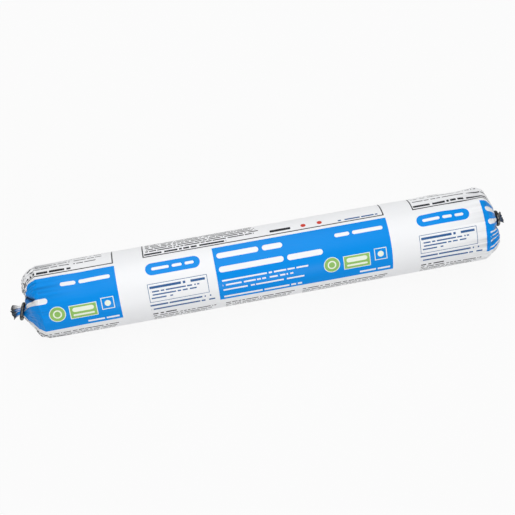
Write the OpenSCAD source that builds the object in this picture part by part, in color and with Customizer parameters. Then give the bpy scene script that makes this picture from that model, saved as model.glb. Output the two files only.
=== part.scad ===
// Sealant sausage: a film casing filled with sealant, gathered at both ends and closed by wire clips.
// The casing lies along X on the flat that its soft filling settles into, with +Z up.

/* [Casing] */
// Diameter of the filled casing
body_d = 49.8; // [44:0.5:56]
// Length of the casing from shoulder to shoulder
body_len = 297.5; // [180:0.5:360]
// Width of the flat that the soft filling settles into
flat_w = 14; // [8:0.5:20]
// Length of the shallow wrinkles that run from a shoulder along the casing
wrinkle_len = 60; // [30:1:80]
// Depth of those wrinkles at the shoulder
wrinkle_depth = 0.35; // [0:0.05:0.6]

/* [Gathered ends] */
// Distance from a shoulder out to the middle of its clip
neck_reach = 14.6; // [12:0.1:20]
// Number of pleats round each end
pleats = 36; // [24:1:40]
// Share of the spare film that the pleats take up, the rest being fine creases
pleat_share = 0.6; // [0.3:0.05:0.7]
// How far the slack side of the left end puffs out
left_puff = 4.4; // [0:0.1:5]
// How far the slack side of the right end puffs out
right_puff = 3.6; // [0:0.1:5]
// Direction of the left end's slack side, from +Y towards +Z
left_slack_angle = 22; // [0:1:360]
// Direction of the right end's slack side, from +Y towards +Z
right_slack_angle = 202; // [0:1:360]
// Form of one side of the left end: above 0 pulled straight like a cone, below 0 fuller than the rest
left_pull = 0.3; // [-0.2:0.01:0.4]
// Form of one side of the right end: above 0 pulled straight like a cone, below 0 fuller than the rest
right_pull = -0.12; // [-0.2:0.01:0.4]
// Direction of that side of the left end, from +Y towards +Z
left_pull_angle = 172; // [0:1:360]
// Direction of that side of the right end, from +Y towards +Z
right_pull_angle = 22; // [0:1:360]
// How far the left neck stands off the casing's axis, away from the slack side
left_neck_shift = 3.8; // [0:0.1:5]
// How far the right neck stands off the casing's axis, away from the slack side
right_neck_shift = 1.3; // [0:0.1:5]

/* [Tails] */
// Length of the left tail beyond its clip
left_tail_len = 5; // [2:0.1:10]
// Length of the right tail beyond its clip
right_tail_len = 2.6; // [2:0.1:10]
// Width of a tail across its cut end
tail_w = 9.5; // [8:0.1:12]
// Thickness of a tail at its cut end
tail_t = 6; // [5:0.1:9]
// Direction of the longest side of the left tail's slanting cut, from +Y towards +Z
left_cut_angle = -20; // [-180:1:360]
// Direction of the longest side of the right tail's slanting cut, from +Y towards +Z
right_cut_angle = 250; // [-180:1:360]
// How far the cut end of the left tail leans on from its neck
left_tail_lean = 2; // [0:0.1:5]
// How far the cut end of the right tail leans on from its neck
right_tail_lean = 0.5; // [0:0.1:5]

/* [Clips] */
// Diameter of the clip wire
wire_d = 2.4; // [2:0.1:2.8]
// Inside radius of the two corners of a clip's crown
clip_in_r = 2.2; // [2:0.1:3]
// Length of the straight part of a clip's crown, between its corners
crown_len = 3.2; // [2:0.1:5]
// Angle through which each leg is curled in towards the film
curl_sweep = 130; // [120:1:140]
// Gap between the two leg ends
leg_gap = 0.4; // [0.2:0.1:0.8]
// Clearance between the gathered film and the wire
clip_gap = 0.1; // [0.05:0.05:0.3]
// Turn of the left clip about the casing's axis
left_clip_turn = 20; // [-180:1:180]
// Turn of the right clip about the casing's axis
right_clip_turn = -25; // [-180:1:180]
// Tilt of the left clip and its tail towards the slack side
left_clip_tilt = 18; // [0:1:24]
// Tilt of the right clip and its tail towards the slack side
right_clip_tilt = 4; // [0:1:24]

/* [Hidden] */
$fn = 48;

LEFT = -1;
RIGHT = 1;

body_r = body_d / 2;
axis_z = sqrt(pow(body_r, 2) - pow(flat_w / 2, 2));

// The wire's crown is straight with two round corners, and each leg is a smaller ring that turns in until
// the leg ends stand leg_gap apart.
corner_r = clip_in_r + wire_d / 2;
corner_offset = crown_len / 2;
curl_in_r = (corner_offset + clip_in_r + wire_d * cos(curl_sweep) - leg_gap / 2) / (1 - cos(curl_sweep));
curl_r = curl_in_r + wire_d / 2;
leg_offset = corner_offset + corner_r - curl_r;

// The gathered neck runs through the clip, from the end of the dome to the start of the tail.
neck_start = neck_reach - wire_d / 2 - clip_gap;
neck_end = neck_reach + wire_d / 2 + clip_gap;
neck_r = clip_in_r - clip_gap;

// Form of the dome: how soon it leaves the shoulder, and how round it is on the way to the neck.
dome_ease = 1.2;
dome_power = 0.5;
dome_steps = 13;
// Where the slack side puffs out most: above 1, nearer the shoulder than the neck.
puff_ease = 1.5;
// Inside this share of the dome's width, pleats turn from square to the film to square to the neck.
turning_share = 0.25;

// Folds are no deeper than this share of the radius that they lie on.
fold_limit = 0.3;
// A taut side still shows this share of the slack side's folds.
taut_folds = 0.45;
// Ruffle at the cut end of a tail, as a share of its radius, and the slant of the cut.
tail_ruffle = 0.45;
tail_slant = 0.4;
tail_steps = 4;
// Depth of the hollow in the cut end, as a share of the tail's length.
tail_hollow = 0.45;

// Places of the wrinkle rings along wrinkle_len, from the smooth body to the shoulder.
wrinkle_rings = [1, 0.6, 0.33, 0.15, 0.05];

// Each pleat has a crease and the two edges of its rounded crest, at these shares of its pitch.
pleat_points = [0, 0.28, 0.72];
fibres = pleats * len(pleat_points);
pleat_wander = rands(-0.12, 0.12, pleats, 11);
left_fold = rands(0.45, 1, pleats, 23);
right_fold = rands(0.45, 1, pleats, 37);

function mix(a, b, t) = a + (b - a) * t;
function pleat_of(j) = floor(j / len(pleat_points));
function is_crease(j) = j % len(pleat_points) == 0;
function fibre_angle(j) =
    (pleat_of(j) + pleat_points[j % len(pleat_points)] + pleat_wander[pleat_of(j)]) * 360 / pleats;

function clip_turn(side) = side == LEFT ? left_clip_turn : right_clip_turn;
function clip_tilt(side) = side == LEFT ? left_clip_tilt : right_clip_tilt;
function tail_len(side) = side == LEFT ? left_tail_len : right_tail_len;
function cut_angle(side) = side == LEFT ? left_cut_angle : right_cut_angle;
function tail_lean(side) = side == LEFT ? left_tail_lean : right_tail_lean;
function neck_shift(side) = side == LEFT ? left_neck_shift : right_neck_shift;
function puff(side) = side == LEFT ? left_puff : right_puff;
function slack_angle(side) = side == LEFT ? left_slack_angle : right_slack_angle;
function slack(side, a) = pow((1 + cos(a - slack_angle(side))) / 2, 2);
function pull_angle(side) = side == LEFT ? left_pull_angle : right_pull_angle;
function pull(side, a) =
    (side == LEFT ? left_pull : right_pull) * pow((1 + cos(a - pull_angle(side))) / 2, 4);

// How strongly a fibre is folded in: nothing on a crest, and less on the taut side of the end.
function fold(side, j) =
    is_crease(j)
        ? (side == LEFT ? left_fold : right_fold)[pleat_of(j)]
            * mix(taut_folds, 1, slack(side, fibre_angle(j)))
        : 0;

// The film keeps its full width, so the tighter the radius r, the deeper the pleats.
function pleat_depth(r) =
    min(
        pleat_share * PI / pleats * sqrt(max(0, pow(body_r, 2) - pow(r, 2))) + wrinkle_depth,
        fold_limit * r
    );

// Distance from the axis, at angle b, to the cut face of the leg on one side of the clip.
function to_leg(b, leg) =
    let (facing = -leg * cos(b) * sin(curl_sweep) - sin(b) * cos(curl_sweep))
    facing < 0 ? (clip_gap - leg_offset * sin(curl_sweep)) / facing : body_r;

// Distance from the axis, at angle b, to the inside of the crown and of its two corners.
function to_crown(b) =
    abs(cos(b)) * neck_r <= corner_offset * abs(sin(b))
        ? neck_r / abs(sin(b))
        : corner_offset * abs(cos(b)) + sqrt(pow(neck_r, 2) - pow(corner_offset * sin(b), 2));

// Radius of the neck, which fills the crown and the wedge between the two leg ends.
function neck_radius(side, a) =
    let (b = a - clip_turn(side))
    min(to_crown(b), to_leg(b, LEFT), to_leg(b, RIGHT));

// Radius of the oval cut end of a tail.
function tail_radius(side, a) =
    let (b = a - clip_turn(side))
    1 / sqrt(pow(2 * cos(b) / tail_w, 2) + pow(2 * sin(b) / tail_t, 2));

// A point of the film, reach beyond a shoulder, at radius r and angle a. Where the clip holds the film, as
// held goes from 0 to 1, it is shifted and tilted with the clip. Then lean moves it from the slack side.
function film_point(side, reach, r, a, held = 0, lean = 0) =
    let (
        to_slack = slack_angle(side),
        tilt = clip_tilt(side) * held,
        past_clip = reach - neck_reach,
        up = r * cos(a - to_slack) - lean,
        across = r * sin(a - to_slack),
        out = neck_reach + past_clip * cos(tilt) - up * sin(tilt),
        off = past_clip * sin(tilt) + up * cos(tilt) - neck_shift(side) * held
    )
    [
        side * (body_len / 2 + out),
        off * cos(to_slack) - across * sin(to_slack),
        axis_z + off * sin(to_slack) + across * cos(to_slack)
    ];

// Rings of the casing, each a list of points round the axis.
function wrinkle_ring(side, share) = [
    for (j = [0 : fibres - 1])
        let (depth = wrinkle_depth * pow(1 - share, 2) * fold(side, j))
        film_point(side, -wrinkle_len * share, body_r - depth, fibre_angle(j))
];

// Width of the dome at a step from the shoulder to the neck, as a share from 1 to 0.
function dome_width(step) = pow(cos(90 * step / dome_steps), dome_ease);

// Reach and radius of the dome before it is pleated.
function dome_place(side, a, step) =
    let (width = dome_width(step))
    [
        neck_start * pow(1 - width, dome_power + pull(side, a))
            + puff(side) * slack(side, a) * pow(sin(180 * pow(width, puff_ease)), 2),
        mix(neck_radius(side, a), body_r, width)
    ];

// Direction that pleats are folded in from, as shares of reach and radius: square to the film of the dome.
function fold_line(side, a, step) =
    let (
        run = dome_place(side, a, min(step + 1, dome_steps)) - dome_place(side, a, max(step - 1, 0)),
        ahead = -run[1] / norm(run) * min(1, dome_width(step) / turning_share)
    )
    [ahead, sqrt(1 - pow(ahead, 2))];

function dome_ring(side, step) = [
    for (j = [0 : fibres - 1])
        let (
            a = fibre_angle(j),
            place = dome_place(side, a, step),
            folded = place - fold_line(side, a, step) * pleat_depth(place[1]) * fold(side, j)
        )
        film_point(side, folded[0], folded[1], a, pow(1 - dome_width(step), 2))
];

function tail_ring(side, step) =
    let (t = step / tail_steps)
    [
        for (j = [0 : fibres - 1])
            let (
                a = fibre_angle(j),
                neck = neck_radius(side, a),
                outer = tail_radius(side, a),
                r = mix(neck, outer, t),
                depth = mix(pleat_depth(neck), tail_ruffle * outer, t) * fold(side, j),
                cut = 1 + tail_slant * cos(a - cut_angle(side))
            )
            film_point(
                side, neck_end + tail_len(side) * cut * t, r - depth, a, 1, tail_lean(side) * pow(t, 2)
            )
    ];

// All rings of one end, from the smooth body out to the cut end of the tail.
function end_rings(side) = concat(
    [for (share = wrinkle_rings) wrinkle_ring(side, share)],
    [for (step = [0 : dome_steps]) dome_ring(side, step)],
    [for (step = [0 : tail_steps]) tail_ring(side, step)]
);

function hollow_point(side) =
    let (t = 1 - tail_hollow)
    film_point(side, neck_end + tail_len(side) * t, 0, 0, 1, tail_lean(side) * pow(t, 2));

// Moves the part along X so that the origin is under the middle of its whole length.
centring = -(
    min([for (p = tail_ring(LEFT, tail_steps)) p.x]) + max([for (p = tail_ring(RIGHT, tail_steps)) p.x])
) / 2;

function reversed(list) = [for (i = [len(list) - 1 : -1 : 0]) list[i]];

// Skins a row of rings into one closed solid, with a hollow at each of its two ends.
module skin(rings, first_hollow, last_hollow) {
    n = len(rings[0]);
    last = len(rings) - 1;
    points = concat([for (ring = rings) each ring], [first_hollow, last_hollow]);
    sides = [
        for (i = [0 : last - 1], j = [0 : n - 1])
            let (k = (j + 1) % n)
            each [
                [i * n + j, (i + 1) * n + j, (i + 1) * n + k],
                [i * n + j, (i + 1) * n + k, i * n + k]
            ]
    ];
    first_end = [for (j = [0 : n - 1]) [j, (j + 1) % n, len(points) - 2]];
    last_end = [for (j = [0 : n - 1]) [last * n + (j + 1) % n, last * n + j, len(points) - 1]];
    polyhedron(points, concat(sides, first_end, last_end));
}

// Film casing with its filling: pleated domes, necks and ruffled tails in one, flat where it rests.
module filled_casing() {
    color([0.94, 0.95, 0.96])
    translate([centring, 0, 0])
    difference() {
        skin(
            concat(reversed(end_rings(LEFT)), end_rings(RIGHT)),
            hollow_point(LEFT),
            hollow_point(RIGHT)
        );
        translate([-body_len, -body_d, -body_d])
            cube([2 * body_len, 2 * body_d, body_d]);
    }
}

// A bent length of the clip wire, turned anticlockwise from the local +X.
module wire_arc(radius, sweep) {
    rotate_extrude(angle = sweep)
        translate([radius, 0])
        circle(d = wire_d);
}

// One half of a clip: half of the crown with its corner, and the leg that goes on from it and curls in.
module half_clip() {
    translate([0, corner_r, 0])
        rotate([0, 90, 0])
        cylinder(h = corner_offset, d = wire_d);
    translate([corner_offset, 0, 0])
        wire_arc(corner_r, 90);
    translate([leg_offset, 0, 0])
        mirror([0, 1, 0])
        wire_arc(curl_r, curl_sweep);
}

// Wire clip pressed shut round a neck, with its crown on one side and its leg ends curled in opposite.
module clip(side) {
    to_slack = slack_angle(side);
    color([0.62, 0.62, 0.62])
    translate([centring, 0, 0])
    translate(film_point(side, neck_reach, 0, 0, 1))
        rotate([to_slack, 0, 0])
        rotate([0, 0, side * clip_tilt(side)])
        rotate([clip_turn(side) - to_slack, 0, 0])
        rotate([90, 0, 90]) {
            half_clip();
            mirror([1, 0, 0])
                half_clip();
        }
}

module left_clip() {
    clip(LEFT);
}

module right_clip() {
    clip(RIGHT);
}

filled_casing();
left_clip();
right_clip();
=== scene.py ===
# Dressed sealant sausage: a printed film casing with gathered ends, and the wire clips that close it.
import math

import bpy
import numpy as np
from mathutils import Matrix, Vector


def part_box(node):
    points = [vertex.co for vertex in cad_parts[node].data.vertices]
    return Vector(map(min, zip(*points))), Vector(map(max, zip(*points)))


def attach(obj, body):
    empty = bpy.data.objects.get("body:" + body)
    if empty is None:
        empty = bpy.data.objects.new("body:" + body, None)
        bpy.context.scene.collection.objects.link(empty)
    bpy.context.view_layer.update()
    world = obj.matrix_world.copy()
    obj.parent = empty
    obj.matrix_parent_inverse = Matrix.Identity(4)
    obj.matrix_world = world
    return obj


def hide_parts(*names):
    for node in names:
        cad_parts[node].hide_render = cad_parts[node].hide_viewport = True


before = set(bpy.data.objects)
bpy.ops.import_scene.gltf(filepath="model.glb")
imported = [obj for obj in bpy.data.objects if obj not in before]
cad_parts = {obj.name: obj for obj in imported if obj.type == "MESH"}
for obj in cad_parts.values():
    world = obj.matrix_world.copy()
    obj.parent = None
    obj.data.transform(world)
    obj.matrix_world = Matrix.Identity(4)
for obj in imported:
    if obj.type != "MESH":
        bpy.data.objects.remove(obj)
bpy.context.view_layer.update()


# Film casing: shape
# A tube of thin laminate film, filled with sealant so that it is round and settles into a narrow flat.
# Each end is gathered into tucks round a neck, held by a clip and cut off short as a ruffled tail.
mm = 0.001
body_low, body_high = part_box("filled_casing")
body_r = (body_high.y - body_low.y) / 2
axis_z = body_high.z - body_r
film_width = 2 * math.pi * body_r
film_wall = 0.3 * mm
neck_reach = 14.6 * mm

# The neck fills the clip: its crown, the two corners of the crown, and the wedge between its curled legs.
wire_d = 2.4 * mm
clip_in_r = 2.2 * mm
crown_len = 3.2 * mm
leg_gap = 0.4 * mm
clip_gap = 0.1 * mm
curl_sweep = math.radians(130)
neck_r = clip_in_r - clip_gap
corner_offset = crown_len / 2
curl_room = corner_offset + clip_in_r + wire_d * math.cos(curl_sweep) - leg_gap / 2
curl_in_r = curl_room / (1 - math.cos(curl_sweep))
leg_offset = corner_offset + clip_in_r - curl_in_r

# Angles run round the axis from +Y towards +Z, and the front of the print faces this way.
print_angle = math.radians(112)

# Each end has a slack side that puffs out, a side that is pulled straight (above 0) or left full (below 0),
# an ear that stands out as a crumpled corner, and one deep crease that may drag the print across.
# The tail is darker towards its cut, and the dark reaches further back from the cut where its ease is low.
left_end = {
    "clip": "left_clip",
    "side": -1,
    "seed": 23,
    "slack_angle": math.radians(22),
    "puff": 4.4 * mm,
    "pull_angle": math.radians(172),
    "pull": 0.3,
    "ear_angle": math.radians(197),
    "ear_puff": 1.8 * mm,
    "crease_from": math.radians(106),
    "crease_to": math.radians(60),
    "crease_depth": 2.6 * mm,
    "crease_start": 0.12,
    "drag": 7.5 * mm,
    "neck_shift": 3.8 * mm,
    "clip_turn": math.radians(20),
    "clip_tilt": math.radians(18),
    "cut_angle": math.radians(-20),
    "tail_len": 5 * mm,
    "tail_lean": 2 * mm,
    "cut_dark_ease": 1.4,
}
right_end = {
    "clip": "right_clip",
    "side": 1,
    "seed": 37,
    "slack_angle": math.radians(202),
    "puff": 3.6 * mm,
    "pull_angle": math.radians(22),
    "pull": -0.12,
    "ear_angle": math.radians(15),
    "ear_puff": 0.6 * mm,
    "crease_from": math.radians(124),
    "crease_to": math.radians(140),
    "crease_depth": 1.8 * mm,
    "crease_start": 0.34,
    "drag": 0 * mm,
    "neck_shift": 1.3 * mm,
    "clip_turn": math.radians(-25),
    "clip_tilt": math.radians(4),
    "cut_angle": math.radians(250),
    "tail_len": 2.6 * mm,
    "tail_lean": 0.5 * mm,
    "cut_dark_ease": 0.15,
}

# Form of the domes: how full they are, and how narrow their slack, pulled and crumpled sides are.
dome_full = 1.2
dome_power = 0.5
slack_focus = 2
pull_focus = 4
ear_focus = 12
puff_ease = 1.5
ear_ease = 4

# Tucks round the domes: how many, and the share of the spare film that each kind takes up.
fine_tucks, fine_share = 68, 0.05
main_tucks, main_share = 34, 0.1
coarse_tucks, coarse_share = 14, 0.06
crest_share = 0.033
tuck_wander = 0.006
deepest_tuck = 0.36
taut_share = 0.26
ear_share = 0.8

# Faint wrinkles run back from the shoulders, and slack film has soft dents and sharper folds. Each row of
# folds has its cells along and round the film, a seed of its own and its depth.
wrinkle_len = 60 * mm
wrinkle_depth = 0.45 * mm
wrinkle_count = 47
dent_depth = 0.5 * mm
fold_rows = ((7, 43, 5, 0.9 * mm), (15, 97, 8, 0.4 * mm))
fold_level = 0.4
crease_width = 1.4 * mm
crease_run = 0.28
# Painted shade darkens the film in its tucks and crease, and is full at this depth.
painted_shade_depth = 1.2 * mm

# The tails are flattened and cut at a slant, with ruffles, uneven petals and a ragged rim.
tail_w = 9.5 * mm
tail_t = 6 * mm
tail_slant = 0.4
throat_share = 0.35
throat_r = 0.1 * mm
ruffle_count = 11
ruffle_depth = 0.6
# Painted shade fills the folds of the tail's ruffles, up to this share.
ruffle_painted_shade = 0.8
petal_share = 0.14
pinch_share = 0.25
rag_count = 23
rag_share = 0.12

# The sheet is a grid: fibres run along the casing, and rings run round it, closest together on the ends.
fibres = 544
body_rings = 12
wrinkle_rings = 14
wrinkle_crowding = 1.6
dome_rings = 48
neck_rings = 3
tail_rings = 10
share = np.linspace(0, 1, fibres + 1)[None, :]
across = (share - 0.5) * film_width
angle = print_angle - across / body_r


def blend(low, high, t):
    return low + (high - low) * t


def ease(low, high, t):
    s = np.clip((t - low) / (high - low), 0, 1)
    return s * s * (3 - 2 * s)


def facing(direction, focus):
    """1 on the line that faces a direction, down to 0 on the far side, and sooner with more focus."""
    return ((1 + np.cos(angle - direction)) / 2) ** focus


def gathers(around, count, seed):
    """Depth of a row of tucks: 0 on their round crests, and up to 1 in the sharp creases between them."""
    rng = np.random.default_rng(seed)
    edges = np.concatenate([[0], np.cumsum(rng.uniform(0.6, 1.4, count))])
    edges /= edges[-1]
    strength = rng.uniform(0.4, 1, count)
    strength = np.append(strength, strength[0])
    place = around % 1
    tuck = np.clip(np.searchsorted(edges, place, side="right") - 1, 0, count - 1)
    phase = (place - edges[tuck]) / (edges[tuck + 1] - edges[tuck])
    crease = np.where(phase < 0.5, strength[tuck], strength[tuck + 1])
    return crease * (1 - np.sin(math.pi * phase) ** 0.5)


def ripple(along, around, cells, seed):
    """Smooth random height from -1 to 1, in cells along the film, that closes round the tube."""
    along, around = np.broadcast_arrays(along, around % 1)
    heights = np.random.default_rng(seed).uniform(-1, 1, (int(along.max()) + 2, cells))
    row = np.floor(along).astype(int)
    column = np.floor(around * cells).astype(int)
    s = ease(0, 1, along - row)
    t = ease(0, 1, around * cells - column)
    near = column % cells
    far = (column + 1) % cells
    return blend(
        blend(heights[row, near], heights[row, far], t),
        blend(heights[row + 1, near], heights[row + 1, far], t),
        s,
    )


def to_leg(turned, leg):
    """Distance from the neck's axis to the cut face of one leg of the clip."""
    towards = -leg * np.cos(turned) * math.sin(curl_sweep) - np.sin(turned) * math.cos(curl_sweep)
    reach = (clip_gap - leg_offset * math.sin(curl_sweep)) / np.where(towards < 0, towards, -1)
    return np.where(towards < 0, reach, body_r)


def to_crown(turned):
    """Distance from the neck's axis to the inside of the clip's crown and of its two corners."""
    cosine, sine = np.abs(np.cos(turned)), np.abs(np.sin(turned))
    corner = corner_offset * cosine + np.sqrt(np.maximum(neck_r ** 2 - (corner_offset * sine) ** 2, 0))
    return np.where(cosine * neck_r <= corner_offset * sine, neck_r / np.maximum(sine, 0.01), corner)


def end_sheet(end):
    """Film of one end, from the smooth body to the throat of its tail.

    Gives the places of its points, their length along the film and the drag of the print on them, and
    then how far they are on the inner side, darker towards the cut, and given painted shade in folds.
    """
    side = end["side"]
    seed = end["seed"]
    clip_low, clip_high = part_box(end["clip"])
    neck_x = (clip_low.x + clip_high.x) / 2
    half_neck = wire_d / 2 + clip_gap
    neck_start = neck_reach - half_neck
    neck_end = neck_reach + half_neck
    shoulder_x = neck_x - side * neck_reach
    slack = facing(end["slack_angle"], slack_focus)
    pull = end["pull"] * facing(end["pull_angle"], pull_focus)
    ear = facing(end["ear_angle"], ear_focus)
    turned = angle - end["clip_turn"]
    neck = np.minimum(to_crown(turned), np.minimum(to_leg(turned, -1), to_leg(turned, 1)))
    tail = 1 / np.sqrt((2 * np.cos(turned) / tail_w) ** 2 + (2 * np.sin(turned) / tail_t) ** 2)

    # Envelope of the film before it is tucked: reach past the shoulder, radius, how far the clip holds it
    # shifted and tilted with it, and how far the tail leans.
    back = np.linspace(1, 0, wrinkle_rings, endpoint=False)[:, None] ** wrinkle_crowding
    turn = np.linspace(0, 1, dome_rings)[:, None]
    width = np.cos(math.pi / 2 * turn) ** dome_full
    grip = np.linspace(0, 1, neck_rings + 1, endpoint=False)[1:, None]
    out = np.linspace(0, 1, tail_rings)[:, None]
    cut = 1 + tail_slant * np.cos(angle - end["cut_angle"])
    flat = np.ones_like(angle)
    reach = np.concatenate([
        -wrinkle_len * back * flat,
        neck_start * (1 - width) ** (dome_power + pull)
        + end["puff"] * slack * np.sin(math.pi * width ** puff_ease) ** 2
        + end["ear_puff"] * ear * np.sin(math.pi * width ** ear_ease) ** 2,
        (neck_start + 2 * half_neck * grip) * flat,
        neck_end + end["tail_len"] * cut * out,
    ])
    radius = np.concatenate([
        body_r * np.ones_like(back) * flat,
        blend(neck, body_r, width),
        neck * np.ones_like(grip),
        blend(neck, tail, out),
    ])
    held = np.concatenate([0 * back, (1 - width) ** 2, np.ones_like(grip), np.ones_like(out)])
    lean = np.concatenate([0 * back, 0 * turn, 0 * grip, end["tail_lean"] * out ** 2])

    # The film keeps its width, so tucks deepen as the radius shrinks: fine at the shoulder, and coarse at
    # the neck.
    near_neck = np.concatenate([0 * back, turn, np.ones_like(grip), np.ones_like(out)])
    near_body = np.concatenate([(1 - back) ** 2, np.ones_like(turn), np.ones_like(grip), np.ones_like(out)])
    wander = tuck_wander * ripple(near_neck * 5, share, 9, seed)
    spare = np.sqrt(np.maximum(body_r ** 2 - radius ** 2, 0))
    loose = blend(taut_share, 1, np.maximum(slack, ear_share * ear))
    fine = gathers(share + wander, fine_tucks, seed + 1) * (1 - ease(0.72, 0.97, near_neck))
    main = gathers(share + wander, main_tucks, seed + 2) * ease(0.1, 0.6, near_neck)
    coarse = gathers(share + wander, coarse_tucks, seed + 3) * ease(0.55, 0.95, near_neck)
    taken = fine_share * fine + main_share * main + coarse_share * coarse - crest_share
    wrinkles = wrinkle_depth * near_body ** 3 * gathers(share, wrinkle_count, seed + 7)
    depth = np.minimum(loose * spare * taken + loose * wrinkles, deepest_tuck * radius)
    dents = dent_depth * ripple(near_neck * 4, share, 17, seed + 4)
    for along_cells, round_cells, draw, fold_depth in fold_rows:
        fold = np.abs(ripple(near_neck * along_cells, share, round_cells, seed + draw))
        dents += fold_depth * (fold - fold_level)
    depth += loose * dents * near_body ** 2 * (1 - ease(0.75, 0.92, near_neck))

    # One deep crease runs into the neck, where the slack side folds over against the taut side.
    crease_line = blend(end["crease_from"], end["crease_to"], ease(0.3, 0.95, near_neck))
    off_line = (angle - crease_line + math.pi) % (2 * math.pi) - math.pi
    crease = end["crease_depth"] * np.exp(-np.abs(off_line * radius) / crease_width)
    starting = ease(end["crease_start"], end["crease_start"] + crease_run, near_neck)
    depth += crease * starting * (1 - ease(0.92, 1, near_neck))
    folded_over = ease(-1.6, -0.5, off_line) * (1 - ease(-0.12, 0.02, off_line))
    drag = end["drag"] * folded_over * ease(0.3, 0.55, near_neck)
    # Painted shade in the tucks and crease, darker where they are deeper.
    shade = np.clip(depth / painted_shade_depth, 0, 1)

    # Tucks lie square to the film, and turn towards the axis where the film runs into the neck.
    step_out = np.gradient(reach, axis=0)
    step_in = -np.gradient(radius, axis=0)
    turned_in = ease(0.8, 0.97, near_neck)
    lean_x = step_in / np.hypot(step_out, step_in) * (1 - turned_in)
    lean_r = np.sqrt(1 - lean_x ** 2)
    ring_reach = np.diff(reach, axis=0, prepend=reach[:1])
    ring_drop = np.diff(radius, axis=0, prepend=radius[:1])
    length = np.cumsum(np.hypot(ring_reach, ring_drop), axis=0)
    tucked_reach = reach - depth * lean_x
    tucked_radius = radius - depth * lean_r

    # The tail is open at its cut end, so the film has an inner side down to the throat.
    tail_rows = slice(-tail_rings, None)
    ruffle = gathers(share, ruffle_count, seed + 6) * out * ruffle_depth
    petal = 1 + petal_share * ripple(0 * share, share, ruffle_count, seed + 9) * out
    pinch = pinch_share * (1 - out) * main[tail_rows]
    tucked_radius[tail_rows] = radius[tail_rows] * petal * (1 - np.maximum(ruffle, pinch))
    ragged = rag_share * out * ripple(0 * share, share, rag_count, seed + 10)
    tucked_reach[tail_rows] += end["tail_len"] * ragged
    # In the tail, painted shade follows the ruffles.
    shade[tail_rows] = ruffle_painted_shade * ruffle
    inner = [-1 - k for k in range(tail_rings) if out[-1 - k, 0] >= throat_share]
    closing = inner[-1:]
    inner_radius = np.maximum(tucked_radius[inner] - film_wall, throat_r)
    inner_length = length[-1:] + film_wall + (length[-1:] - length[inner])
    reach = np.concatenate([tucked_reach, tucked_reach[inner], tucked_reach[closing]])
    reach[-1] = reach[-1].mean()
    radius = np.concatenate([tucked_radius, inner_radius, 0 * inner_radius[:1]])
    held = np.concatenate([held, held[inner], held[closing]])
    lean = np.concatenate([lean, lean[inner], lean[closing]])
    length = np.concatenate([length, inner_length, inner_length[-1:] + inner_radius[-1:]])
    inside = np.concatenate([0 * near_neck, np.ones((len(inner) + 1, 1))])
    # The tail darkens towards its cut.
    cut_dark = np.concatenate([0 * near_neck[:-tail_rings], out, out[inner], out[closing]]) ** end["cut_dark_ease"]
    shade = np.concatenate([shade, 0 * shade[inner], 0 * shade[closing]])
    drag = np.concatenate([drag, drag[inner], drag[closing]])

    # Rings near the neck stand off the axis and are tilted with the clip, in the plane of the slack side.
    from_slack = angle - end["slack_angle"]
    tilt = end["clip_tilt"] * held
    past_clip = reach - neck_reach
    up = radius * np.cos(from_slack) - lean
    aside = radius * np.sin(from_slack)
    along = neck_reach + past_clip * np.cos(tilt) - up * np.sin(tilt)
    off = past_clip * np.sin(tilt) + up * np.cos(tilt) - end["neck_shift"] * held
    to_slack = end["slack_angle"]
    places = np.stack([
        shoulder_x + side * along,
        off * math.cos(to_slack) - aside * math.sin(to_slack),
        axis_z + off * math.sin(to_slack) + aside * math.cos(to_slack),
    ], axis=-1)
    film_length = shoulder_x + side * (length - wrinkle_len)
    return places, film_length, drag, inside * flat, cut_dark * flat, shade


# The body between the two ends is plain.
left_sheet = end_sheet(left_end)
right_sheet = end_sheet(right_end)
body_start, body_stop = left_sheet[0][0, 0, 0], right_sheet[0][0, 0, 0]
span = np.linspace(0, 1, body_rings + 2)[1:-1, None]
body_x = blend(body_start, body_stop, span) * np.ones_like(angle)
plain = 0 * body_x
body_places = np.stack([
    body_x,
    plain + body_r * np.cos(angle),
    plain + axis_z + body_r * np.sin(angle),
], axis=-1)
body_sheet = (body_places, body_x, plain, plain, plain, plain)
places, film_along, film_drag, film_inside, film_cut_dark, film_painted_shade = [
    np.concatenate([left[::-1], body, right])
    for left, body, right in zip(left_sheet, body_sheet, right_sheet)
]

# Handling leaves slow waves in it, and near the ends they pucker the print above the panel.
wave_len = 15 * mm
wave_cells = 9
body_swell = 0.08 * mm
end_swell = 0.75 * mm
print_pucker = 2.4 * mm
from_middle = np.abs(film_along)
wave = ripple((film_along - film_along.min()) / wave_len, share, wave_cells, 5)
off_necks = 1 - ease(150 * mm, 165 * mm, from_middle)
near_end = ease(80 * mm, 130 * mm, from_middle) * off_necks
swell = wave * off_necks * (body_swell + end_swell * near_end * facing(math.radians(60), 2))
pucker_side = ease(16 * mm, 24 * mm, across) * (1 - ease(46 * mm, 60 * mm, across))
pucker = print_pucker * wave * near_end * pucker_side
places[..., 1] += swell * np.cos(angle)
places[..., 2] += swell * np.sin(angle)
places[..., 2] = np.maximum(places[..., 2], 0)

# The film starts as one flat sheet, is rolled up and gathered, and is closed along its lap underneath.
rings = len(places)
bpy.ops.object.select_all(action="DESELECT")
bpy.ops.mesh.primitive_grid_add(x_subdivisions=rings - 1, y_subdivisions=fibres, size=1)
casing = bpy.context.active_object
casing.name = "film_casing"
sheet = casing.data
flat_places = np.empty(len(sheet.vertices) * 3)
sheet.vertices.foreach_get("co", flat_places)
flat_places = flat_places.reshape(-1, 3)
ring = np.rint((flat_places[:, 0] + 0.5) * (rings - 1)).astype(int)
fibre = np.rint((flat_places[:, 1] + 0.5) * fibres).astype(int)
sheet.vertices.foreach_set("co", places[ring, fibre].ravel())
corner = np.empty(len(sheet.loops), dtype=int)
sheet.loops.foreach_get("vertex_index", corner)
corner_ring, corner_fibre = ring[corner], fibre[corner]

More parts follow.
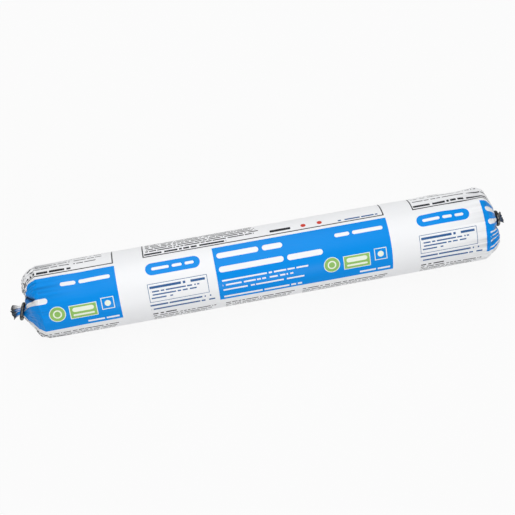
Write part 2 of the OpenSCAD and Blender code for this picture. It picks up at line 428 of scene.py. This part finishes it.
# One map holds each point's place on the flat film, in millimetres, and the other is for baking.
film_map = sheet.uv_layers.active
film_map.name = "film"
film_place = np.stack([film_along, across + pucker + film_drag], axis=-1)[corner_ring, corner_fibre] / mm
film_map.data.foreach_set("uv", film_place.ravel())
bake_map = sheet.uv_layers.new(name="OFBake")
ring_step = np.linalg.norm(np.diff(places, axis=0), axis=-1).mean(axis=1)
ring_place = np.concatenate([[0], np.cumsum(ring_step)]) / ring_step.sum()
bake_place = np.stack([ring_place[corner_ring], share[0, corner_fibre]], axis=-1)
bake_map.data.foreach_set("uv", bake_place.ravel())
for label, values in (("film_inside", film_inside), ("film_cut_dark", film_cut_dark), ("film_painted_shade", film_painted_shade)):
    attribute = sheet.attributes.new(label, "FLOAT", "POINT")
    attribute.data.foreach_set("value", values[ring, fibre])

bpy.ops.object.mode_set(mode="EDIT")
bpy.ops.mesh.select_all(action="SELECT")
bpy.ops.mesh.remove_doubles(threshold=0.001 * mm)
bpy.ops.mesh.normals_make_consistent(inside=False)
bpy.ops.object.mode_set(mode="OBJECT")
bpy.ops.object.shade_smooth()


# Film casing: print
# The film is printed before it is rolled up, in white, blue, green, red and dark inks that repeat along it.
# The print is fields of colour, rules and rows of plain blocks, laid out in millimetres of flat film.
def ink(red, green, blue):
    """Linear colour of an ink from its everyday 0 to 255 values."""
    shares = [value / 255 for value in (red, green, blue)]
    return [s / 12.92 if s <= 0.04045 else ((s + 0.055) / 1.055) ** 2.4 for s in shares] + [1]


white_film = ink(243, 244, 246)
blue_ink = ink(0, 142, 232)
green_ink = ink(146, 192, 102)
pale_ink = ink(238, 246, 228)
navy_ink = ink(52, 96, 150)
dark_ink = ink(46, 47, 52)
red_ink = ink(206, 66, 52)
bare_inside = ink(172, 196, 214)
# Painted shade for tight folds.
painted_fold_shade = ink(18, 22, 40)
# Dark of the tails towards their cut ends.
cut_end_dark = ink(56, 54, 54)


def new_material(name):
    """A new material with its node tree and its shader."""
    material = bpy.data.materials.new(name)
    material.use_nodes = True
    return material, material.node_tree, material.node_tree.nodes["Principled BSDF"]


def put(tree, socket, value):
    """Sets a socket to a value, or links it to another socket."""
    if isinstance(value, bpy.types.NodeSocket):
        tree.links.new(value, socket)
    else:
        socket.default_value = value


def op(tree, operation, *values):
    """Result of a sum, each part of it a value or a socket."""
    node = tree.nodes.new("ShaderNodeMath")
    node.operation = operation
    for socket, value in zip(node.inputs, values):
        put(tree, socket, value)
    return node.outputs[0]


def add(tree, kind, inputs, **settings):
    """A new node with its settings and its named inputs, each of them a value or a socket."""
    node = tree.nodes.new(kind)
    for name, value in settings.items():
        setattr(node, name, value)
    for name, value in inputs.items():
        put(tree, node.inputs[name], value)
    return node


def ink_group(name, inputs):
    """A new node group that works out where one printed shape is, with its inputs as a row of sockets."""
    group = bpy.data.node_groups.new(name, "ShaderNodeTree")
    for label in inputs:
        group.interface.new_socket(label, in_out="INPUT", socket_type="NodeSocketFloat")
    group.interface.new_socket("Ink", in_out="OUTPUT", socket_type="NodeSocketFloat")
    sockets = group.nodes.new("NodeGroupInput").outputs
    result = group.nodes.new("NodeGroupOutput").inputs[0]
    return group, [sockets[label] for label in inputs], result


# A box with round corners, filled.
box_group, box_in, box_ink = ink_group(
    "printed_box", ["Along", "Across", "Left", "Right", "Low", "High", "Corner"]
)
along_in, across_in, left_in, right_in, low_in, high_in, corner_in = box_in


def edge_distance(tree, place, low, high, rounding):
    """How far a place lies outside the straight middle of a box side, which ends where corners start."""
    middle = op(tree, "MULTIPLY", op(tree, "ADD", low, high), 0.5)
    half = op(tree, "MULTIPLY", op(tree, "SUBTRACT", high, low), 0.5)
    from_middle = op(tree, "ABSOLUTE", op(tree, "SUBTRACT", place, middle))
    return op(tree, "ADD", op(tree, "SUBTRACT", from_middle, half), rounding)


side_gap = edge_distance(box_group, along_in, left_in, right_in, corner_in)
top_gap = edge_distance(box_group, across_in, low_in, high_in, corner_in)
outer = op(
    box_group, "SQRT",
    op(
        box_group, "ADD",
        op(box_group, "POWER", op(box_group, "MAXIMUM", side_gap, 0.0), 2.0),
        op(box_group, "POWER", op(box_group, "MAXIMUM", top_gap, 0.0), 2.0),
    ),
)
inner = op(box_group, "MINIMUM", op(box_group, "MAXIMUM", side_gap, top_gap), 0.0)
put(box_group, box_ink, op(box_group, "LESS_THAN", op(box_group, "ADD", outer, inner), corner_in))

# Rows of plain blocks with gaps between them and with ragged right ends.
block_swing = 0.2
gap_share = 0.17
ragged_blocks = 9.0
rows_group, rows_in, rows_ink = ink_group(
    "block_rows", ["Along", "Across", "Left", "Right", "Top", "Height", "Pitch", "Rows", "Step", "Seed"]
)
along_in, across_in, left_in, right_in, top_in, height_in, pitch_in, count_in, step_in, seed_in = rows_in


def chance(tree, *numbers):
    """A number from 0 to 1 that looks random, but is always the same for the same whole numbers."""
    total = 0.37
    for number, weight in zip(numbers, (12.9898, 78.233)):
        total = op(tree, "MULTIPLY_ADD", number, weight, total)
    return op(tree, "FRACT", op(tree, "MULTIPLY", op(tree, "SINE", total), 437.585))


drop = op(rows_group, "SUBTRACT", top_in, across_in)
line = op(rows_group, "FLOOR", op(rows_group, "DIVIDE", drop, step_in))
line_seed = op(rows_group, "MULTIPLY_ADD", line, 3.0, seed_in)
place = op(rows_group, "DIVIDE", op(rows_group, "SUBTRACT", along_in, left_in), pitch_in)
swing = op(rows_group, "SINE", op(rows_group, "MULTIPLY_ADD", place, 2.1, line_seed))
stretched = op(rows_group, "MULTIPLY_ADD", swing, block_swing, place)
number = op(rows_group, "FLOOR", stretched)
in_run = op(rows_group, "GREATER_THAN", chance(rows_group, number, line_seed), gap_share)
raised = op(
    rows_group, "SUBTRACT",
    height_in, op(rows_group, "SUBTRACT", drop, op(rows_group, "MULTIPLY", line, step_in)),
)
upright = op(
    rows_group, "MULTIPLY",
    op(rows_group, "GREATER_THAN", raised, 0.0),
    op(rows_group, "LESS_THAN", raised, height_in),
)
in_lines = op(
    rows_group, "MULTIPLY",
    op(rows_group, "GREATER_THAN", drop, 0.0),
    op(rows_group, "LESS_THAN", line, op(rows_group, "SUBTRACT", count_in, 0.5)),
)
ragged = op(
    rows_group, "MULTIPLY",
    op(rows_group, "MULTIPLY", chance(rows_group, line_seed), op(rows_group, "GREATER_THAN", line, 0.5)),
    op(rows_group, "MULTIPLY", pitch_in, ragged_blocks),
)
in_row = op(
    rows_group, "MULTIPLY",
    op(rows_group, "GREATER_THAN", along_in, left_in),
    op(rows_group, "LESS_THAN", op(rows_group, "ADD", along_in, ragged), right_in),
)
put(rows_group, rows_ink, op(
    rows_group, "MULTIPLY",
    op(rows_group, "MULTIPLY", in_run, in_row),
    op(rows_group, "MULTIPLY", upright, in_lines),
))

# The print repeats along the film: a blue panel, then a white band on its left. Along starts at the panel's
# left edge, and up at the middle of the front.
repeat_len = 181.6
panel_left = -31.9
panel_len = 117.1
panel_low, panel_high = -22.4, 15.8
film, tree, shader = new_material("film_print")
film_uv = add(tree, "ShaderNodeUVMap", {}, uv_map="film")
film_axes = add(tree, "ShaderNodeSeparateXYZ", {"Vector": film_uv.outputs["UV"]})
film_x = film_axes.outputs["X"]
along = op(tree, "WRAP", op(tree, "SUBTRACT", film_x, panel_left), panel_len, panel_len - repeat_len)
up = film_axes.outputs["Y"]
left_part = op(tree, "LESS_THAN", film_x, panel_left + panel_len - repeat_len)
right_part = op(tree, "GREATER_THAN", film_x, panel_left + panel_len)


def printed(group, *values):
    """Ink of one shape on the film."""
    node = tree.nodes.new("ShaderNodeGroup")
    node.node_tree = group
    for socket, value in zip(node.inputs, (along, up) + values):
        put(tree, socket, value)
    return node.outputs[0]


def box(left, right, low, high, rounding=0.0):
    return printed(box_group, left, right, low, high, rounding)


def disc(middle_along, middle_up, r):
    return box(middle_along - r, middle_along + r, middle_up - r, middle_up + r, r)


def outline(left, right, low, high, line):
    hole = box(left + line, right - line, low + line, high - line)
    return op(tree, "SUBTRACT", box(left, right, low, high), hole)


def rows(left, right, top, height, pitch, count, step, seed):
    """Rows of blocks, the first just under the top and each a step below the last."""
    return printed(rows_group, left, right, top, height, pitch, count, step, float(seed))


def row(left, right, low, height, pitch, seed):
    """One row of blocks that stand on its low edge."""
    return rows(left, right, low + height, height, pitch, 1.0, height + 1.0, seed)


def together(*inks):
    total = inks[0]
    for one in inks[1:]:
        total = op(tree, "MAXIMUM", total, one)
    return total


def off_left(ink_there):
    """Ink on each repeat but the one on the left end."""
    return op(tree, "MULTIPLY", op(tree, "SUBTRACT", 1.0, left_part), ink_there)


def layer(under, where, colour):
    """A colour, covered by another where there is ink."""
    mix = add(tree, "ShaderNodeMix", {"Factor": where, "A": under, "B": colour}, data_type="RGBA")
    return mix.outputs["Result"]


panel = box(0.0, panel_len, panel_low, panel_high)

# Large round bars and rows of small ones, in white on the panel.
panel_rows = together(
    box(2.2, 30.0, 7.4, 11.2, 1.9),
    box(32.5, 46.0, 7.4, 11.2, 1.9),
    box(2.2, 45.2, -2.0, 1.8, 1.9),
    box(47.6, 71.4, -2.0, 1.8, 1.9),
    box(81.0, 91.0, 7.6, 10.2, 1.3),
    box(93.0, 113.5, 7.6, 10.2, 1.3),
    row(94.5, 115.0, -20.4, 1.5, 1.5, 8),
    off_left(together(
        row(3.0, 60.4, -8.2, 1.1, 1.15, 3),
        row(3.0, 50.0, -11.4, 1.1, 1.15, 4),
        row(3.0, 58.3, -14.9, 1.1, 1.15, 5),
        row(2.8, 55.1, -20.8, 1.5, 1.5, 6),
    )),
)

# Three plain shapes on the right of the panel: a green disc with a ring, a green plate and an open square.
disc_along, disc_up, disc_r = 76.1, -10.3, 5.4
ring_r, ring_line = 2.9, 0.9
edge_line = 0.5
disc_edge = disc(disc_along, disc_up, disc_r)
disc_field = disc(disc_along, disc_up, disc_r - edge_line)
disc_ring = op(
    tree, "SUBTRACT",
    disc(disc_along, disc_up, ring_r), disc(disc_along, disc_up, ring_r - ring_line),
)
plate_left, plate_right, plate_low, plate_high = 84.0, 102.0, -15.5, -5.9
plate_edge = box(plate_left, plate_right, plate_low, plate_high)
plate_field = box(
    plate_left + edge_line, plate_right - edge_line, plate_low + edge_line, plate_high - edge_line
)
plate_rows = together(
    box(86.0, 100.0, -10.6, -7.6, 1.5),
    box(86.0, 100.0, -13.6, -12.2, 0.7),
)
square = outline(105.0, 113.4, -12.6, -4.4, edge_line)
square_dot = disc(109.2, -8.5, 2.0)

# A blue capsule with white beads, and a ruled frame with rows, on the white film beside the panel.
capsule = box(-45.0, -9.0, 4.2, 12.6, 4.2)
beads = together(
    box(-41.0, -29.5, 7.4, 9.4, 1.0),
    box(-27.5, -21.0, 7.4, 9.4, 1.0),
    box(-19.0, -13.0, 7.4, 9.4, 1.0),
)
frame_rule = outline(-45.5, -6.2, -14.0, -1.2, 0.35)
band_rows = together(
    row(-44.3, -7.8, -4.5, 1.6, 1.7, 11),
    row(-44.0, -11.0, -7.0, 0.9, 1.1, 12),
    row(-44.0, -14.0, -9.2, 0.9, 1.1, 13),
    row(-44.0, -30.0, -11.5, 0.9, 1.1, 14),
    row(-45.7, -5.4, -17.0, 1.2, 1.15, 15),
    row(-45.4, -3.2, -20.4, 1.2, 1.15, 16),
    off_left(row(86.0, 113.0, 19.8, 1.2, 1.15, 17)),
)

# Ruled box above the panel, with rows of small dark blocks that go on round the back. The repeat on the
# right end has fewer of them, set wider apart, and the one on the left has others.
small_count = op(tree, "MULTIPLY_ADD", right_part, -5.0, 9.0)
small_step = op(tree, "MULTIPLY_ADD", right_part, 2.9, 2.3)
dark = together(
    outline(-45.3, 116.8, 18.0, 52.0, 0.8),
    row(-44.0, 10.6, 19.7, 1.6, 1.3, 21),
    rows(-43.0, 36.0, 42.3, 1.1, 0.9, small_count, small_step, 22),
    off_left(box(40.0, 54.0, 20.6, 23.0, 0.6)),
    op(
        tree, "MULTIPLY", left_part,
        together(row(40.0, 89.0, 19.8, 1.8, 1.4, 24), rows(38.0, 112.0, 37.2, 0.9, 0.9, 4.0, 3.8, 26)),
    ),
)
dot_r = 1.7
dots = off_left(together(disc(62.7, 22.1, dot_r), disc(73.7, 22.1, dot_r)))

# Columns of small dark rows under the panel.
low_top = -27.0
low_step = 2.7
low_count = 8.0
dark = together(
    dark,
    row(-45.0, -29.3, -25.4, 1.3, 1.2, 39),
    rows(-45.0, -3.0, low_top, 1.0, 0.85, low_count, low_step, 40),
    rows(3.5, 50.0, low_top, 1.0, 0.85, low_count, low_step, 80),
    rows(55.5, 114.0, low_top, 1.0, 0.85, low_count, low_step, 120),
)

colour = layer(white_film, panel, blue_ink)
colour = layer(colour, op(tree, "MULTIPLY", panel, panel_rows), white_film)
colour = layer(colour, together(disc_edge, plate_edge, square, square_dot), pale_ink)
colour = layer(colour, together(disc_field, plate_field), green_ink)
colour = layer(colour, together(disc_ring, plate_rows), pale_ink)
colour = layer(colour, capsule, blue_ink)
colour = layer(colour, beads, white_film)
colour = layer(colour, together(frame_rule, band_rows), navy_ink)
colour = layer(colour, dark, dark_ink)
colour = layer(colour, dots, red_ink)

# The film is bare inside the tails, its tight folds get painted shade, and the tails are darker towards
# their cut ends.
for label, strength, tint in (
    ("film_inside", 1.0, bare_inside),
    ("film_painted_shade", 0.85, painted_fold_shade),
    ("film_cut_dark", 0.97, cut_end_dark),
):
    spread = add(tree, "ShaderNodeAttribute", {}, attribute_name=label)
    colour = layer(colour, op(tree, "MULTIPLY", spread.outputs["Fac"], strength), tint)
put(tree, shader.inputs["Base Color"], colour)
shader.inputs["Specular IOR Level"].default_value = 0.1

# Satin gloss, a little uneven, with faint crinkles that run along the film.
crinkle_scale = (0.05, 0.22, 1)
crinkle_depth = 0.12 * mm
stretch = add(tree, "ShaderNodeMapping", {"Vector": film_uv.outputs["UV"], "Scale": crinkle_scale})
crinkle = add(tree, "ShaderNodeTexNoise", {"Vector": stretch.outputs[0], "Scale": 1.0, "Detail": 3.0})
gloss = add(tree, "ShaderNodeMapRange", {"Value": crinkle.outputs[0], "To Min": 0.24, "To Max": 0.4})
put(tree, shader.inputs["Roughness"], gloss.outputs[0])
bump = add(
    tree, "ShaderNodeBump",
    {"Height": crinkle.outputs[0], "Strength": 0.35, "Distance": crinkle_depth},
)
put(tree, shader.inputs["Normal"], bump.outputs[0])
casing.data.materials.append(film)

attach(casing, "root")
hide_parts("filled_casing")


# Wire clips
# A short length of soft aluminium wire is pressed round each neck, with its two legs curled in.
# The clips keep their modelled form and get a dull metal, marked by the dies that closed them.
wear_scale = 0.5 / mm
mark_scale = 2.5 / mm
mark_depth = 0.05 * mm
wire_metal, tree, shader = new_material("clip_metal")
shader.inputs["Metallic"].default_value = 1.0
clip_place = tree.nodes.new("ShaderNodeTexCoord").outputs["Object"]
worn = add(tree, "ShaderNodeTexNoise", {"Vector": clip_place, "Scale": wear_scale, "Detail": 4.0})
tone = add(tree, "ShaderNodeValToRGB", {"Fac": worn.outputs[0]})
dull, bright = tone.color_ramp.elements
dull.position = 0.36
dull.color = ink(40, 41, 44)
bright.position = 0.66
bright.color = ink(118, 117, 114)
put(tree, shader.inputs["Base Color"], tone.outputs[0])
gloss = add(tree, "ShaderNodeMapRange", {"Value": worn.outputs[0], "To Min": 0.5, "To Max": 0.28})
put(tree, shader.inputs["Roughness"], gloss.outputs[0])
die_marks = add(tree, "ShaderNodeTexNoise", {"Vector": clip_place, "Scale": mark_scale})
bump = add(
    tree, "ShaderNodeBump",
    {"Height": die_marks.outputs[0], "Strength": 0.3, "Distance": mark_depth},
)
put(tree, shader.inputs["Normal"], bump.outputs[0])
for clip_name in ("left_clip", "right_clip"):
    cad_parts[clip_name].material_slots[0].material = wire_metal


# Floor
# A plain pale sheet that the sausage lies on. It shows white to the camera, to gloss and through film, and
# keeps a soft shadow.
floor_size = 8.0
floor_drop = 0.05 * mm
floor_white = 0.92


def background_rays(tree):
    """1 for the rays that see the plain white background: from the camera, off gloss and through film."""
    rays = tree.nodes.new("ShaderNodeLightPath")
    clear = op(tree, "MAXIMUM", rays.outputs["Is Glossy Ray"], rays.outputs["Is Transmission Ray"])
    return op(tree, "MAXIMUM", rays.outputs["Is Camera Ray"], clear)


bpy.ops.object.select_all(action="DESELECT")
bpy.ops.mesh.primitive_plane_add(size=floor_size, location=(0, 0, -floor_drop))
floor = bpy.context.active_object
floor.name = "floor"
pale, tree, shader = new_material("pale_floor")
shader.inputs["Base Color"].default_value = ink(200, 200, 200)
shader.inputs["Roughness"].default_value = 0.9
shader.inputs["Specular IOR Level"].default_value = 0.0
white = add(tree, "ShaderNodeEmission", {"Strength": 1.0})
both = tree.nodes.new("ShaderNodeMixShader")
put(tree, both.inputs[0], op(tree, "MULTIPLY", background_rays(tree), floor_white))
put(tree, both.inputs[1], shader.outputs[0])
put(tree, both.inputs[2], white.outputs[0])
put(tree, tree.nodes["Material Output"].inputs["Surface"], both.outputs[0])
floor.data.materials.append(pale)


# Studio light
# A long soft lamp overhead, a weaker one low in front, and a white surround that lights more from above.
def soft_lamp(name, place, size, watts):
    bpy.ops.object.light_add(type="AREA", location=place)
    lamp = bpy.context.active_object
    lamp.name = name
    lamp.data.shape = "RECTANGLE"
    lamp.data.size, lamp.data.size_y = size
    lamp.data.energy = watts
    lamp.rotation_euler = Vector(place).to_track_quat("Z", "Y").to_euler()


soft_lamp("key_lamp", (0.0, 0.35, 1.2), (0.5, 1.9), 10.4)
soft_lamp("front_lamp", (0.0, -1.35, 0.5), (0.5, 0.5), 6.0)
level_light = 0.17
overhead_light = 0.42
surround = bpy.data.worlds.new("surround")
surround.use_nodes = True
tree = surround.node_tree
sky = tree.nodes["Background"]
around = tree.nodes.new("ShaderNodeTexCoord")
heading = add(tree, "ShaderNodeSeparateXYZ", {"Vector": around.outputs["Generated"]})
upwards = op(tree, "MAXIMUM", heading.outputs["Z"], 0.0)
graded = op(tree, "MULTIPLY_ADD", upwards, overhead_light, level_light)
put(tree, sky.inputs["Strength"], op(tree, "MAXIMUM", background_rays(tree), graded))
sky.inputs["Color"].default_value = (1, 1, 1, 1)
bpy.context.scene.world = surround


# Camera
# It looks steeply down on the sausage from the front, with a long lens, as the photograph was taken.
azimuth = math.radians(-11.04)
elevation = math.radians(66.74)
distance = 772.5 * mm
look_at = Vector((0, 0, 24 * mm))
aside = -2.25 * mm
above = 3.5 * mm
backward = Vector((
    math.sin(azimuth) * math.cos(elevation),
    -math.cos(azimuth) * math.cos(elevation),
    math.sin(elevation),
))
rightward = Vector((math.cos(azimuth), math.sin(azimuth), 0))
upward = backward.cross(rightward)
look_at += rightward * aside + upward * above
bpy.ops.object.camera_add(location=look_at + backward * distance)
camera = bpy.context.active_object
camera.rotation_euler = backward.to_track_quat("Z", "Y").to_euler()
camera.data.lens = 80
camera.data.sensor_width = 36
bpy.context.scene.camera = camera
bpy.context.scene.view_settings.view_transform = "Standard"
